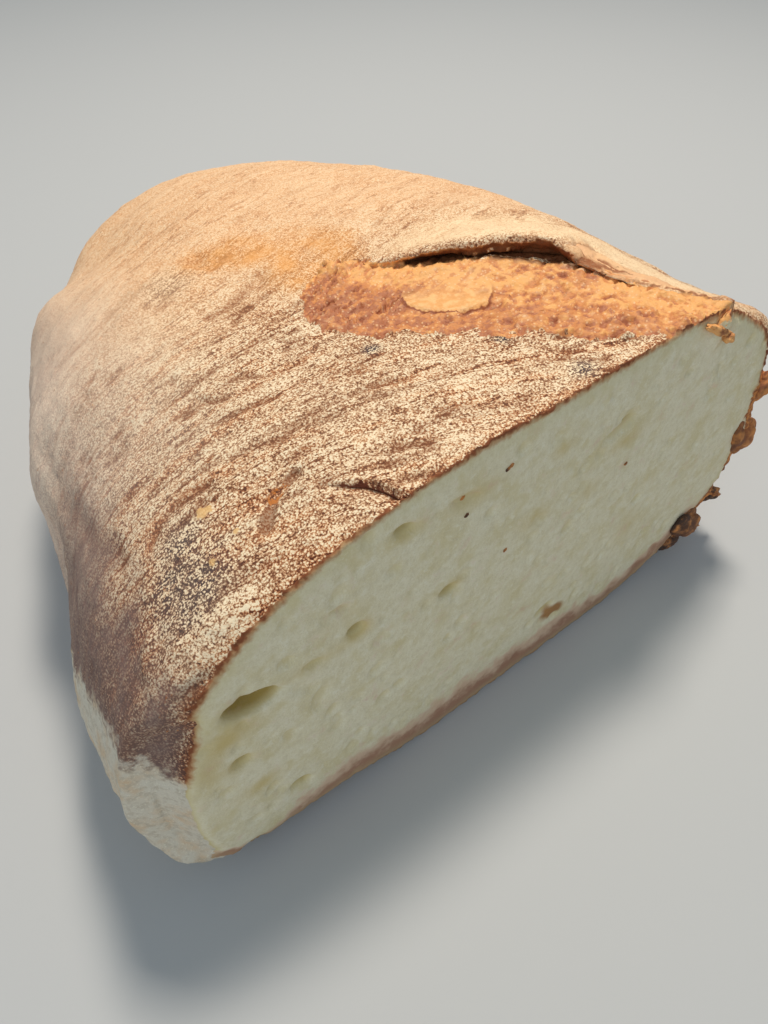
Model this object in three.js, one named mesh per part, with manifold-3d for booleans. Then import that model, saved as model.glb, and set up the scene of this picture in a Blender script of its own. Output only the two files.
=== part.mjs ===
// Half of a crusty white country loaf, cut across and lying on its flat base.
// Millimetres, +Z up. The cut face looks along -Y, the rounded end of the loaf points along +Y,
// and the origin lies under the middle of the finished half loaf.
import * as THREE from "three";
import { mergeVertices } from "three/addons/utils/BufferGeometryUtils.js";
import Module from "manifold-3d";

const wasm = await Module();
wasm.setup();
const { clamp, lerp, smoothstep } = THREE.MathUtils;

// Driving dimensions. The loaf is widest a little behind the cut, and its end lies off to the right.
const CUT_WIDTH = 160;
const WIDTH = 173;
const LENGTH = 182;
const HEIGHT = 84.5;
const WIDEST_HEIGHT = 30.5;
const END_SHIFT = 17;
const CORNER_DEPTH = 6;

// The round underside would reach this far below the ground, so it was baked flat there.
const BASE_SINK = 1.6;

// Roundness as powers: 2 is an ellipse, and a higher power is boxier.
const PLAN_POWER = 2.2;
const DOME_POWER = 3.05;
const LEFT_BASE_POWER = 3.4;
const RIGHT_BASE_POWER = 2.5;

// The dome is higher on the right, sinks towards its end, and its left wall leans in.
const DOME_TILT = 0.085;
const DOME_SAG = 0.045;
const LEFT_LEAN = 5.6;
const RIGHT_LEAN = 1.7;

// Mesh density: points round the loaf, rows along the crust and rings on the cut face.
const AROUND = 84;
const CRUST_ROWS = 40;
const FACE_ROWS = 4;

// Swellings and dents of the crust: where, how far they spread, and how high they stand.
const SWELLINGS = [
  { at: [-77, 54, 46], spread: 21, height: -3.0 },
  { at: [-75, 69, 35], spread: 13, height: -3.2 },
  { at: [-46, 125, 56], spread: 16, height: 4.2 },
  { at: [-32, 136, 66], spread: 24, height: -3.6 },
  { at: [-42, 0, 0], spread: 24, height: -4.4 },
  { at: [-46, 30, 80], spread: 20, height: 1.0 },
  { at: [60, 60, 74], spread: 26, height: 1.6 },
  { at: [68, 28, 77], spread: 17, height: -3.4 },
  { at: [76, 3, 69], spread: 10, height: 2.6 },
  { at: [-4, 112, 80], spread: 22, height: 1.2 },
  { at: [64, 128, 52], spread: 24, height: -2.0 },
];

// Slow unevenness all over the crust, from waves with seeded directions.
const WAVE_HEIGHT = 0.5;
const WAVE_COUNT = 12;
const SHORTEST_WAVE = 24;
const LONGEST_WAVE = 60;
const WAVE_SEED = 41;

// The slash across the top: its near edge and its lip in plan, from before the cut to its far end.
const SLASH_NEAR = [
  [59, -28],
  [31, 0],
  [17, 14],
  [3, 28],
  [-10, 40],
  [-15, 50],
  [-10, 61],
  [-3, 66.5],
];
const SLASH_LIP = [
  [66, -28],
  [51, 0],
  [42, 17],
  [36, 32],
  [25, 44],
  [10, 57],
  [3, 63.5],
  [-1, 66.8],
];

// The slash's section: shares of its width, heights over the crust, and the share of the ear's own rise
// that each height adds, so that the lip stays equally thin all along.
const SLASH_SECTION = [
  [-0.02, 2.0, 0],
  [0.04, -0.4, 0],
  [0.35, -0.9, 0],
  [0.7, -1.3, 0],
  [1.0, -1.6, 0],
  [1.2, -1.4, 0],
  [1.25, -0.9, 0.4],
  [1.12, -1.9, 1],
  [0.99, -1.3, 1],
  [0.97, 9.0, 0],
  [0.5, 10.0, 0],
  [0.02, 9.0, 0],
];
const SLASH_STEPS = 22;
const SECTION_STEPS = 28;

// The slash is deepest in its middle, shallower at the cut and shallowest at its far end, where it
// rises out of the crust in a clean point.
const CUT_DEPTH = 0.6;
const FAR_DEPTH = 0.3;
const END_LIFT = 3;

// The crust beyond the slash curls up into an ear, highest in the middle of the lip.
const EAR_HEIGHT = 3.2;
const EAR_SPREAD = 13;
const EAR_TAPER = 1.5;
const LIP_SAMPLES = 40;

// Pores that open in the cut face: place, width, height and depth.
const PORES = [
  { x: -62, z: 55, wide: 12, tall: 6, deep: 4.2 },
  { x: -66, z: 40, wide: 5, tall: 4, deep: 2.2 },
  { x: -50, z: 55, wide: 6, tall: 3, deep: 1.4 },
  { x: -41, z: 57, wide: 5, tall: 4, deep: 2.2 },
  { x: -44, z: 65, wide: 5, tall: 2.6, deep: 1.4 },
  { x: -31, z: 75, wide: 6, tall: 3, deep: 2.2 },
  { x: -20, z: 51, wide: 6, tall: 3.4, deep: 2.2 },
  { x: -18, z: 74, wide: 9, tall: 3, deep: 1.4 },
  { x: 23, z: 68, wide: 13, tall: 4, deep: 1.4 },
  { x: -56, z: 19, wide: 6, tall: 4, deep: 1.8 },
  { x: 12, z: 19, wide: 8, tall: 5, deep: 1.6 },
];
const PORE_SIDES = 10;
const PORE_RINGS = 6;
const PORE_SET_OUT = 0.35;
const PORE_TURN = 0.25;

// A crack in the crust that opens at the cut: its line in plan, its width and the wedge that opens it,
// which is set so high that only its lower part bites.
const CRACK = [
  [-39.5, 12.2],
  [-36.4, 8.6],
  [-33.6, 6.1],
  [-31, 0.3],
  [-28, -7],
];
const CRACK_WIDTH = 0.7;
const CRACK_WEDGE = 4;
const CRACK_SET_UP = 1.5;
const CRACK_SIDES = 8;
const CRACK_RINGS = 12;

// Shards of crust that stand out at the right wall and under the base edge, end to end.
const SHARDS = [
  { from: [76, 1.9, 45], to: [81.5, 0.6, 31], wide: 8, thick: 4.4 },
  { from: [78, 1.9, 46.5], to: [84.5, 1, 54], wide: 5, thick: 3 },
  { from: [62, 2.1, 16], to: [75, -0.2, 6], wide: 7, thick: 3 },
  { from: [73, 2.2, 18], to: [84, 0.8, 13], wide: 4, thick: 2.2 },
  { from: [45.5, 2.1, 80.5], to: [48.4, -1.5, 74.5], wide: 4.6, thick: 2.4 },
];
const SHARD_SIDES = 8;
const SHARD_RINGS = 6;

const HALF_WIDTH = WIDTH / 2;
const DOME_RISE = HEIGHT - WIDEST_HEIGHT;
const NECK = 1 - CUT_WIDTH / WIDTH;

// How much higher or lower the dome is at a place across and along the loaf.
function domeScale(across, along) {
  return (1 + DOME_TILT * across) * (1 - DOME_SAG * Math.sin(Math.PI * clamp(along, 0, 1)));
}

function planRadius(across, along) {
  return (Math.abs(across) ** PLAN_POWER + along ** PLAN_POWER) ** (1 / PLAN_POWER);
}

// Height of the plain dome over a place in plan.
function crustHeight(x, y) {
  const along = clamp(y / LENGTH, 0, 1);
  const across = (x - END_SHIFT * along) / HALF_WIDTH;
  const inner = Math.max(0, 1 - planRadius(across, along) ** DOME_POWER);
  return WIDEST_HEIGHT + DOME_RISE * inner ** (1 / DOME_POWER) * domeScale(across, along);
}

// A point on the plain loaf in a direction from the middle of the cut at the widest height, and the
// way the crust faces there.
function plainLoaf({ x, y, z }) {
  const above = z >= 0;
  const basePower = lerp(LEFT_BASE_POWER, RIGHT_BASE_POWER, (1 + x) / 2);
  const power = above ? DOME_POWER : basePower;
  const rise = above ? DOME_RISE : WIDEST_HEIGHT + BASE_SINK;
  const plan = planRadius(x / HALF_WIDTH, y / LENGTH);
  const reach = (plan ** power + (Math.abs(z) / rise) ** power) ** (-1 / power);
  const p = new THREE.Vector3(x, y, z).multiplyScalar(reach);
  const steep = plan ** (power - PLAN_POWER);
  const out = new THREE.Vector3(
    (steep * Math.sign(x) * (Math.abs(x) / HALF_WIDTH) ** (PLAN_POWER - 1)) / HALF_WIDTH,
    (steep * (y / LENGTH) ** (PLAN_POWER - 1)) / LENGTH,
    (Math.sign(z) * (Math.abs(z) / rise) ** (power - 1)) / rise,
  ).normalize();
  const along = p.y / LENGTH;
  const across = p.x / HALF_WIDTH;
  const up = Math.max(0, p.z) / DOME_RISE;
  const corner = clamp(1 - p.y / CORNER_DEPTH, 0, 1);
  const lean = across < 0 ? LEFT_LEAN : -RIGHT_LEAN;
  p.x = p.x * (1 - NECK * corner ** 2) + END_SHIFT * along + lean * up * across ** 2;
  if (above) p.z *= domeScale(across, along);
  p.z += WIDEST_HEIGHT;
  return { p, out };
}

function seededDraw(seed) {
  let state = seed;
  return () => {
    state = (state * 16807) % 2147483647;
    return state / 2147483647;
  };
}

const draw = seededDraw(WAVE_SEED);
const waves = Array.from({ length: WAVE_COUNT }, () => {
  const way = new THREE.Vector3(draw() - 0.5, draw() - 0.5, draw() - 0.5).normalize();
  const length = lerp(SHORTEST_WAVE, LONGEST_WAVE, draw());
  return { way: way.multiplyScalar((2 * Math.PI) / length), start: 2 * Math.PI * draw() };
});

function swelling(p) {
  let height = 0;
  for (const { at, spread, height: top } of SWELLINGS) {
    const away = p.distanceTo(new THREE.Vector3(...at)) / spread;
    height += top * Math.exp(-away * away);
  }
  for (const { way, start } of waves) {
    height += (WAVE_HEIGHT / Math.sqrt(WAVE_COUNT / 2)) * Math.sin(way.dot(p) + start);
  }
  return height;
}

const inPlan = ([x, y]) => new THREE.Vector3(x, y, 0);
const nearEdge = new THREE.CatmullRomCurve3(SLASH_NEAR.map(inPlan));
const lipEdge = new THREE.CatmullRomCurve3(SLASH_LIP.map(inPlan));
const lipPlaces = lipEdge.getPoints(LIP_SAMPLES);

// How high the ear stands at a share of the lip's length.
function earRise(share) {
  return EAR_HEIGHT * Math.max(0, Math.sin(Math.PI * share)) ** EAR_TAPER;
}

function earLift(p) {
  if (p.z < WIDEST_HEIGHT) return 0;
  const flat = new THREE.Vector3(p.x, p.y, 0);
  let nearest = Infinity;
  let share = 0;
  lipPlaces.forEach((place, i) => {
    const away = place.distanceTo(flat);
    if (away >= nearest) return;
    nearest = away;
    share = i / LIP_SAMPLES;
  });
  return earRise(share) * Math.exp(-((nearest / EAR_SPREAD) ** 2));
}

// A ball whose back rows are stretched to the crust and whose front rows are pressed flat on the cut.
function loafGeometry() {
  const rows = CRUST_ROWS + FACE_ROWS;
  const ball = new THREE.SphereGeometry(1, AROUND, rows);
  const position = ball.getAttribute("position");
  const v = new THREE.Vector3();
  for (let i = 0; i < position.count; i++) {
    v.fromBufferAttribute(position, i);
    const row = (Math.acos(clamp(v.y, -1, 1)) / Math.PI) * rows;
    const turn = Math.atan2(v.z, v.x);
    const onFace = row > CRUST_ROWS;
    const polar = onFace ? Math.PI / 2 : ((row / CRUST_ROWS) * Math.PI) / 2;
    const { p, out } = plainLoaf({
      x: Math.sin(polar) * Math.cos(turn),
      y: Math.max(0, Math.cos(polar)),
      z: Math.sin(polar) * Math.sin(turn),
    });
    p.addScaledVector(out, swelling(p));
    p.z += earLift(p);
    if (row >= CRUST_ROWS) p.y = 0;
    if (onFace) {
      const share = (rows - row) / FACE_ROWS;
      p.x *= share;
      p.z = WIDEST_HEIGHT + (p.z - WIDEST_HEIGHT) * share;
    }
    position.setXYZ(i, p.x, p.y, p.z);
  }
  return ball;
}

// A ball drawn out along a path: place(t, turn, swell) gives the point at a share t of its length,
// where swell runs from 0 at both ends to 1 in the middle.
function drawnOut(sides, rings, place) {
  const ball = new THREE.SphereGeometry(1, sides, rings);
  const position = ball.getAttribute("position");
  const v = new THREE.Vector3();
  for (let i = 0; i < position.count; i++) {
    v.fromBufferAttribute(position, i);
    const polar = Math.acos(clamp(v.y, -1, 1));
    const p = place(polar / Math.PI, Math.atan2(v.z, v.x), Math.sin(polar));
    position.setXYZ(i, p.x, p.y, p.z);
  }
  return ball;
}

// The slash's depth at a share of its length, as a share of its greatest depth.
function slashDepth(t) {
  return lerp(CUT_DEPTH, 1, smoothstep(t, 0.14, 0.42)) * lerp(1, FAR_DEPTH, smoothstep(t, 0.6, 0.9));
}

// What the opened slash leaves empty: a trough that deepens towards the lip and runs in under it.
function slashCutter() {
  const outline = new THREE.CatmullRomCurve3(
    [...SLASH_SECTION, SLASH_SECTION[0]].map((corner) => new THREE.Vector3(...corner)),
    false,
    "catmullrom",
  );
  return drawnOut(SECTION_STEPS, SLASH_STEPS, (t, turn, swell) => {
    const near = nearEdge.getPoint(t);
    const lip = lipEdge.getPoint(t);
    const [share, plain, ofEar] = outline.getPoint((Math.PI - turn) / (2 * Math.PI)).toArray();
    const h = plain + ofEar * earRise(t);
    const size = Math.sqrt(swell);
    const across = lerp(0.5, share, size);
    const p = near.clone().lerp(lip, across);
    const depth = h < 0 ? slashDepth(t) : 1;
    p.z = crustHeight(p.x, p.y) + h * depth * size + END_LIFT * (1 - size);
    return p;
  });
}

function crackCutter() {
  const onCrust = ([x, y]) => new THREE.Vector3(x, y, crustHeight(x, y));
  const line = new THREE.CatmullRomCurve3(CRACK.map(onCrust));
  return drawnOut(CRACK_SIDES, CRACK_RINGS, (t, turn, swell) => {
    const p = line.getPoint(t);
    const along = line.getTangent(t);
    const side = new THREE.Vector3(-along.y, along.x, 0).normalize();
    p.addScaledVector(side, (CRACK_WIDTH / 2) * swell * Math.cos(turn));
    p.z += CRACK_WEDGE * (swell * (Math.sin(turn) - 1) + CRACK_SET_UP);
    return p;
  });
}

function poreCutter({ x, z, wide, tall, deep }) {
  const pore = new THREE.SphereGeometry(1, PORE_SIDES, PORE_RINGS);
  pore.scale(wide / 2, deep, tall / 2);
  pore.rotateY(-PORE_TURN * Math.sign(x));
  return pore.translate(x, -PORE_SET_OUT, z);
}

function shardGeometry({ from, to, wide, thick }) {
  const start = new THREE.Vector3(...from);
  const end = new THREE.Vector3(...to);
  const length = start.distanceTo(end);
  const shard = new THREE.SphereGeometry(1, SHARD_SIDES, SHARD_RINGS);
  shard.scale(wide / 2, length / 2, thick / 2);
  const turn = new THREE.Quaternion().setFromUnitVectors(
    new THREE.Vector3(0, 1, 0),
    end.clone().sub(start).normalize(),
  );
  shard.applyQuaternion(turn);
  const middle = start.add(end).multiplyScalar(0.5);
  return shard.translate(middle.x, middle.y, middle.z);
}

function solidOf(geometry) {
  const bare = geometry.clone();
  bare.deleteAttribute("normal");
  bare.deleteAttribute("uv");
  const merged = mergeVertices(bare, 1e-3);
  return new wasm.Manifold(
    new wasm.Mesh({
      numProp: 3,
      vertProperties: merged.getAttribute("position").array,
      triVerts: new Uint32Array(merged.index.array),
    }),
  );
}

function geometryOf(solid) {
  const mesh = solid.getMesh();
  const geometry = new THREE.BufferGeometry();
  geometry.setAttribute("position", new THREE.BufferAttribute(mesh.vertProperties, 3));
  geometry.setIndex(new THREE.BufferAttribute(mesh.triVerts, 1));
  return geometry;
}

// The half loaf: the plain loaf less slash and crack, with shards, less pores and what is below the base.
const belowBase = new THREE.BoxGeometry(4 * WIDTH, 4 * LENGTH, HEIGHT).translate(0, 0, -HEIGHT / 2);
let loaf = solidOf(loafGeometry());
loaf = loaf.subtract(solidOf(slashCutter()));
loaf = loaf.subtract(solidOf(crackCutter()));
for (const shard of SHARDS) loaf = loaf.add(solidOf(shardGeometry(shard)));
for (const pore of PORES) loaf = loaf.subtract(solidOf(poreCutter(pore)));
loaf = loaf.subtract(solidOf(belowBase));
const whole = loaf.decompose().reduce((a, b) => (b.volume() > a.volume() ? b : a));

const geometry = geometryOf(whole);
geometry.computeBoundingBox();
const middle = geometry.boundingBox.getCenter(new THREE.Vector3());
const crust = new THREE.MeshStandardMaterial({ color: 0xb98a5e, roughness: 0.85, metalness: 0 });
const halfLoaf = new THREE.Mesh(geometry, crust);
halfLoaf.name = "half_loaf";
halfLoaf.position.set(-middle.x, -middle.y, 0);

const part = new THREE.Group();
part.add(halfLoaf);
export default part;
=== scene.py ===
import math
import bpy
import numpy as np
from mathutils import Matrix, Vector, noise
from mathutils.bvhtree import BVHTree
from mathutils.kdtree import KDTree


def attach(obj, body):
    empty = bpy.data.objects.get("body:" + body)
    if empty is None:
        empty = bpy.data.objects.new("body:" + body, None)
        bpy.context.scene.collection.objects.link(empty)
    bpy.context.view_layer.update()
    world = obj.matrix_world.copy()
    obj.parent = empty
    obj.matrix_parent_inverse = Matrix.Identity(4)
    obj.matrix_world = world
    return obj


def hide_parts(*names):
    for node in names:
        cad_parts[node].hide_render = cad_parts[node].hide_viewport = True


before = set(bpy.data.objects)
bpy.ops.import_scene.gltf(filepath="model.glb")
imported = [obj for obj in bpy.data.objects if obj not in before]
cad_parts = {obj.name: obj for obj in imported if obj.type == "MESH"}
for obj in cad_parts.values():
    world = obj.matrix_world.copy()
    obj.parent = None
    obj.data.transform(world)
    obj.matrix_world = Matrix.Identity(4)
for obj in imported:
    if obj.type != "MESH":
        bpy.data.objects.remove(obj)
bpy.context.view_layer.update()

# The half loaf's fine mesh. The loaf is one body of white wheat dough, baked on its flat foot and cut across
# with a bread knife. The mesh is a copy of the solid, remeshed to a fine even grid and smoothed between its
# facets.
MM = 0.001
GRID = 0.7 * MM
MERGE = 0.01 * MM
FACET_PASSES = 16
CRACK_PASSES = 60
FLAP_PASSES = 40
LEAST_SHARE = 0.01
LINE_STEPS = 60
UP = Vector((0, 0, 1))

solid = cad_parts["half_loaf"]
loaf = bpy.data.objects.new("loaf", solid.data.copy())
loaf.data.materials.clear()
bpy.context.scene.collection.objects.link(loaf)


def take(piece):
    """Selects one piece alone and makes it active."""
    bpy.ops.object.select_all(action="DESELECT")
    piece.select_set(True)
    bpy.context.view_layer.objects.active = piece


def modify(piece, kind, **settings):
    """Applies a modifier with these settings to the piece."""
    made = piece.modifiers.new(kind, kind)
    for name, value in settings.items():
        setattr(made, name, value)
    take(piece)
    bpy.ops.object.modifier_apply(modifier=made.name)


take(loaf)
bpy.ops.object.mode_set(mode="EDIT")
bpy.ops.mesh.select_all(action="SELECT")
bpy.ops.mesh.remove_doubles(threshold=MERGE)
bpy.ops.object.mode_set(mode="OBJECT")

# The middle of the cut's foot, from the solid's flat front faces: all places on the loaf are measured from
# there, x along the cut, y into the loaf and z up, in millimetres.
front_faces = [face for face in loaf.data.polygons if face.normal.y < -0.999]
front_places = np.array([loaf.data.vertices[i].co for face in front_faces for i in face.vertices])
cut_plane = float(np.median(front_places[:, 1]))
on_cut = front_places[np.abs(front_places[:, 1] - cut_plane) < MERGE]
foot = np.array([(on_cut[:, 0].min() + on_cut[:, 0].max()) / 2, cut_plane, 0.0])

modify(loaf, "REMESH", mode="VOXEL", voxel_size=GRID)


def threes(source, field):
    """One property of a mesh, with three numbers to each entry."""
    flat = np.empty(len(source) * 3, np.float32)
    source.foreach_get(field, flat)
    return flat.reshape(-1, 3)


def places(piece):
    """The piece's vertices in millimetres from the middle of the cut's foot."""
    return (threes(piece.data.vertices, "co").astype(float) - foot) / MM


def normals(piece):
    """The directions that the piece's vertices face."""
    return threes(piece.data.vertex_normals, "vector").astype(float)


def put(piece, where):
    """Moves the piece's vertices to these places."""
    piece.data.vertices.foreach_set("co", (where * MM + foot).astype(np.float32).ravel())
    piece.data.update()


def relax(piece, share, passes):
    """Smooths the piece by a share for each vertex, and gives the new places."""
    group = piece.vertex_groups.new(name="share")
    for i in np.nonzero(share > LEAST_SHARE)[0]:
        group.add([int(i)], float(share[i]), "REPLACE")
    modify(piece, "SMOOTH", iterations=passes, vertex_group=group.name)
    piece.vertex_groups.clear()
    return places(piece)


def mark(piece, name, share):
    """Keeps a share from 0 to 1 on each of the piece's vertices."""
    kept = piece.data.attributes.new(name, "FLOAT", "POINT")
    kept.data.foreach_set("value", np.clip(share, 0, 1).astype(np.float32))


def surface(piece):
    """The piece's surface, for rays."""
    return BVHTree.FromObject(piece, bpy.context.evaluated_depsgraph_get())


def ease(value, low, high):
    """Rises smoothly from 0 at low to 1 at high."""
    share = np.clip((value - low) / (high - low), 0, 1)
    return share * share * (3 - 2 * share)


def fall(value, low, high):
    """Falls smoothly from 1 at low to 0 at high."""
    return 1 - ease(value, low, high)


def bell(distance, width):
    """1 at no distance, and about a third at the width."""
    return np.exp(-((distance / width) ** 2))


def span(offsets):
    """The length of each offset."""
    return np.linalg.norm(offsets, axis=1)


def smoothed(values, reach):
    """Each value's mean with that many before and after it."""
    count = 2 * reach + 1
    return np.convolve(np.pad(values, reach, "edge"), np.full(count, 1 / count), "valid")


def lumps(where, size, octaves=1, seed=0.0):
    """Smooth noise from about -1 to 1, with lumps of that size in millimetres."""
    moved = (np.asarray(where) / size + seed).tolist()
    return np.array([noise.fractal(p, 1.0, 2.0, octaves) for p in moved])


def cells(where, size, seed=0.0):
    """The distance to the nearest of many scattered points, about that far apart."""
    moved = (np.asarray(where) / size + seed).tolist()
    return np.array([noise.voronoi(p)[0][0] for p in moved])


def through(points, steps):
    """A smooth line through the points."""
    held = np.array([points[0], *points, points[-1]], float)
    at = np.linspace(0, len(points) - 1, steps)
    start = np.minimum(at.astype(int), len(points) - 2)
    share = (at - start)[:, None]
    a, b, c, d = (held[start + step] for step in range(4))
    bend = (2 * a - 5 * b + 4 * c - d) * share**2 + (3 * b - a - 3 * c + d) * share**3
    return b + ((c - a) * share + bend) / 2


def net_of(points):
    """Finds the nearest of these points, in a plane or in space."""
    net = KDTree(len(points))
    for i, spot in enumerate(points):
        net.insert((*spot, 0.0)[:3], i)
    net.balance()
    return net


def beside(where, points, reach):
    """How far each place lies from a smooth line through the points, or the reach if farther."""
    line = through(points, LINE_STEPS)
    net = net_of(line)
    close = (where > line.min(0) - reach) & (where < line.max(0) + reach)
    distance = np.full(len(where), float(reach))
    for i in np.nonzero(close.all(1))[0]:
        distance[i] = min(reach, net.find(where[i])[2])
    return distance


# The slash across the top, cut before baking, which opened as the loaf rose. Its near edge and the lip of its
# far side, the ear, run in plan from the cut towards the loaf's back.
SLASH_NEAR = ((59, -28), (31, 0), (17, 14), (3, 28), (-10, 40), (-15, 50), (-10, 61), (-3, 66.5))
SLASH_LIP = ((66, -28), (51, 0), (42, 17), (36, 32), (25, 44), (10, 57), (3, 63.5), (-1, 66.8))
SLASH_LENGTH = 130.0
SLASH_WIDTH = 22.0
SLASH_STEPS = 260
SLASH_SHARES = np.arange(-0.9, 2.2, 0.02)
TOP_HEIGHT = 62
LIP_HEIGHT = 70
SLASH_REACH = 4
FAR_OFF = 99.0
EAR_REACH = 12 * MM
OFF_SURFACE = 0.3 * MM
GAP_LEFT = 0.2 * MM

near_line = through(SLASH_NEAR, SLASH_STEPS)
lip_line = through(SLASH_LIP, SLASH_STEPS)
shares_across = SLASH_SHARES[:, None]
slash_grid = near_line[:, None] * (1 - shares_across) + lip_line[:, None] * shares_across
slash_net = net_of(slash_grid.reshape(-1, 2))


def slash_places(where):
    """Each place's share along the slash, its share across from near edge to lip, and how far off it is."""
    along = np.zeros(len(where))
    across = np.full(len(where), SLASH_SHARES[0])
    away = np.full(len(where), FAR_OFF)
    for i in np.nonzero(where[:, 2] > TOP_HEIGHT)[0]:
        _, index, distance = slash_net.find((where[i, 0], where[i, 1], 0.0))
        along[i] = (index // len(SLASH_SHARES)) / (SLASH_STEPS - 1)
        across[i] = SLASH_SHARES[index % len(SLASH_SHARES)]
        away[i] = distance
    return along, across, away


def gap_above(tree, place, off):
    """How far over a place, from that much above it, the surface comes again, or None."""
    return tree.ray_cast(Vector(place * MM + foot) + off * UP, UP, EAR_REACH)[3]


def covered(piece, where, chosen):
    """Which of the chosen vertices lie under another part of the piece."""
    tree = surface(piece)
    hidden = np.zeros(len(where), bool)
    for i in np.nonzero(chosen)[0]:
        hidden[i] = gap_above(tree, where[i], OFF_SURFACE) is not None
    return hidden


# The outline of the cut: the place farthest from the middle of the cut in each direction.
CUT_MIDDLE = np.array([0.0, 38.0])
OUTLINE_STEPS = 480
OUTLINE_DEPTH = 0.9
RIM_REACH = 9.0
SHARDS = (
    ((76, 45), (81.5, 31), 5.5), ((78, 46.5), (84.5, 54), 4.5),
    ((62, 16), (75, 6), 5.0), ((73, 18), (84, 13), 4.0),
)


def on_shard(flat):
    """Which places on the cut lie at a broken shard."""
    held = np.zeros(len(flat), bool)
    for start, end, reach in SHARDS:
        way = np.subtract(end, start)
        share = np.clip((flat - start) @ way / (way @ way), 0, 1)
        held |= span(flat - start - share[:, None] * way) < reach
    return held


def slots_round(flat):
    """Which of the outline's steps each place on the cut lies in."""
    turn = np.arctan2(flat[:, 1], flat[:, 0])
    return ((turn / (2 * np.pi) + 0.5) * OUTLINE_STEPS).astype(int) % OUTLINE_STEPS


def cut_outline(where):
    """Points round the crust's edge at the cut, and how far they lie from its middle."""
    edge = where[np.abs(where[:, 1]) < OUTLINE_DEPTH][:, (0, 2)]
    broken = on_shard(edge)
    held = slots_round(edge[broken] - CUT_MIDDLE)
    edge = edge[~broken] - CUT_MIDDLE
    farthest = np.zeros(OUTLINE_STEPS)
    np.maximum.at(farthest, slots_round(edge), np.hypot(edge[:, 0], edge[:, 1]))
    around = np.stack([np.roll(farthest, step) for step in (-2, -1, 0, 1, 2)])
    farthest = np.sort(around, axis=0)[3]
    steps = np.arange(OUTLINE_STEPS)
    known = ~np.isin(steps, held)
    farthest = np.interp(steps, steps[known], farthest[known])
    angle = ((steps + 0.5) / OUTLINE_STEPS - 0.5) * 2 * np.pi
    rim = np.stack([np.cos(angle), np.sin(angle)], 1) * farthest[:, None] + CUT_MIDDLE
    return rim, farthest


def inset_from_crust(where, rim, farthest):
    """How far inside the cut's outline each place lies, or below 0 outside it."""
    net = net_of(rim)
    flat = where[:, (0, 2)] - CUT_MIDDLE
    inside = np.hypot(flat[:, 0], flat[:, 1]) < farthest[slots_round(flat)]
    distance = np.full(len(where), -RIM_REACH)
    for i in np.nonzero(where[:, 1] < RIM_REACH)[0]:
        away = net.find((where[i, 0], where[i, 2], 0.0))[2]
        distance[i] = away if inside[i] else -away
    return distance


spots = places(loaf)
x, y, z = spots.T
facing = normals(loaf)
rim, farthest = cut_outline(spots)

# The height of the lip's underside, by share along the slash.
LIP_STEPS = np.linspace(0, 1, 90)
LIP_STEP_REACH = 0.012
LIP_LEAST = 3
along, across, away = slash_places(spots)
lip_under = (across > 0.94) & (across < 1.08) & (facing[:, 2] < -0.15)
lip_under &= (away < SLASH_REACH) & (z > LIP_HEIGHT)
lip_heights = np.full(len(LIP_STEPS), np.nan)
for i, step in enumerate(LIP_STEPS):
    close = lip_under & (np.abs(along - step) < LIP_STEP_REACH)
    if close.sum() > LIP_LEAST:
        lip_heights[i] = np.median(spots[close, 2])
known = ~np.isnan(lip_heights)
lip_heights = smoothed(np.interp(LIP_STEPS, LIP_STEPS[known], lip_heights[known]), 4)

# The crack in the crust, which runs in from the top edge of the cut.
CRACK = ((-39.5, 12.2, 80.6), (-36.4, 8.6, 81.2), (-33.6, 6.1, 81.3), (-31, 0.3, 82))


def left_corner(where):
    """The share of the cut's rounded left edge, below where the crust is browned."""
    return ease(-where[:, 0], 60, 68) * ease(where[:, 2], 8, 20) * fall(where[:, 2], 52, 62)


def zones(piece, where, facing):
    """The shares of slash, crumb and cut edge at each place, with the slash's own measures."""
    _, y, z = where.T
    along, across, away = slash_places(where)
    over = covered(piece, where, (across > 0.8) & (across < 2.1) & (away < SLASH_REACH))
    wander = 0.13 * lumps(where, 6, 3, 3.1) + 0.06 * lumps(where, 1.6, 2, 7.7)
    open_floor = ease(across + wander, -0.03, 0.04) * fall(across, 1, 1.03)
    under_ear = ease(across, 0.9, 0.97) * fall(across, 2, 2.1)
    under_ear = np.where(over | (facing[:, 2] < 0.1), under_ear, 0) * ease(y, 1.2, 2.2)
    slash = np.where(away < SLASH_REACH, np.maximum(open_floor, under_ear), 0)
    slash *= fall(along + 0.02 * wander, 0.95, 1)
    above_lip = z - np.interp(along, LIP_STEPS, lip_heights)
    outside = ease(facing[:, 2], -0.05, 0.2) * (across < 1.3)
    slash *= 1 - ease(across, 0.9, 0.94) * ease(above_lip, 0.25, 0.55) * outside
    inset = inset_from_crust(where, rim, farthest)
    in_slash = (slash > 0.3) & (z > LIP_HEIGHT) & (facing[:, 1] > -0.8) & (inset < 5)
    corner = left_corner(where)
    deep = ease(inset - 1.5 * corner, 2.2, 3.2)
    inner = np.where(y > 0.9, deep, ease(inset - 3.2 * corner, 0.1, 0.9))
    crumb = np.where((y < 7.5) & ~in_slash, inner, 0)
    flat_cut = ease(-facing[:, 1], 0.55, 0.8) * (y < 1.2)
    crumb = np.maximum(crumb, np.where(inset > -0.2, flat_cut, 0))
    crumb *= (beside(where, CRACK, 5) > 4.5) | (y < 0.6)
    crumb *= ~on_shard(where[:, (0, 2)]) | (inset > 2.5)
    return along, across, slash, crumb, inset


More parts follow.
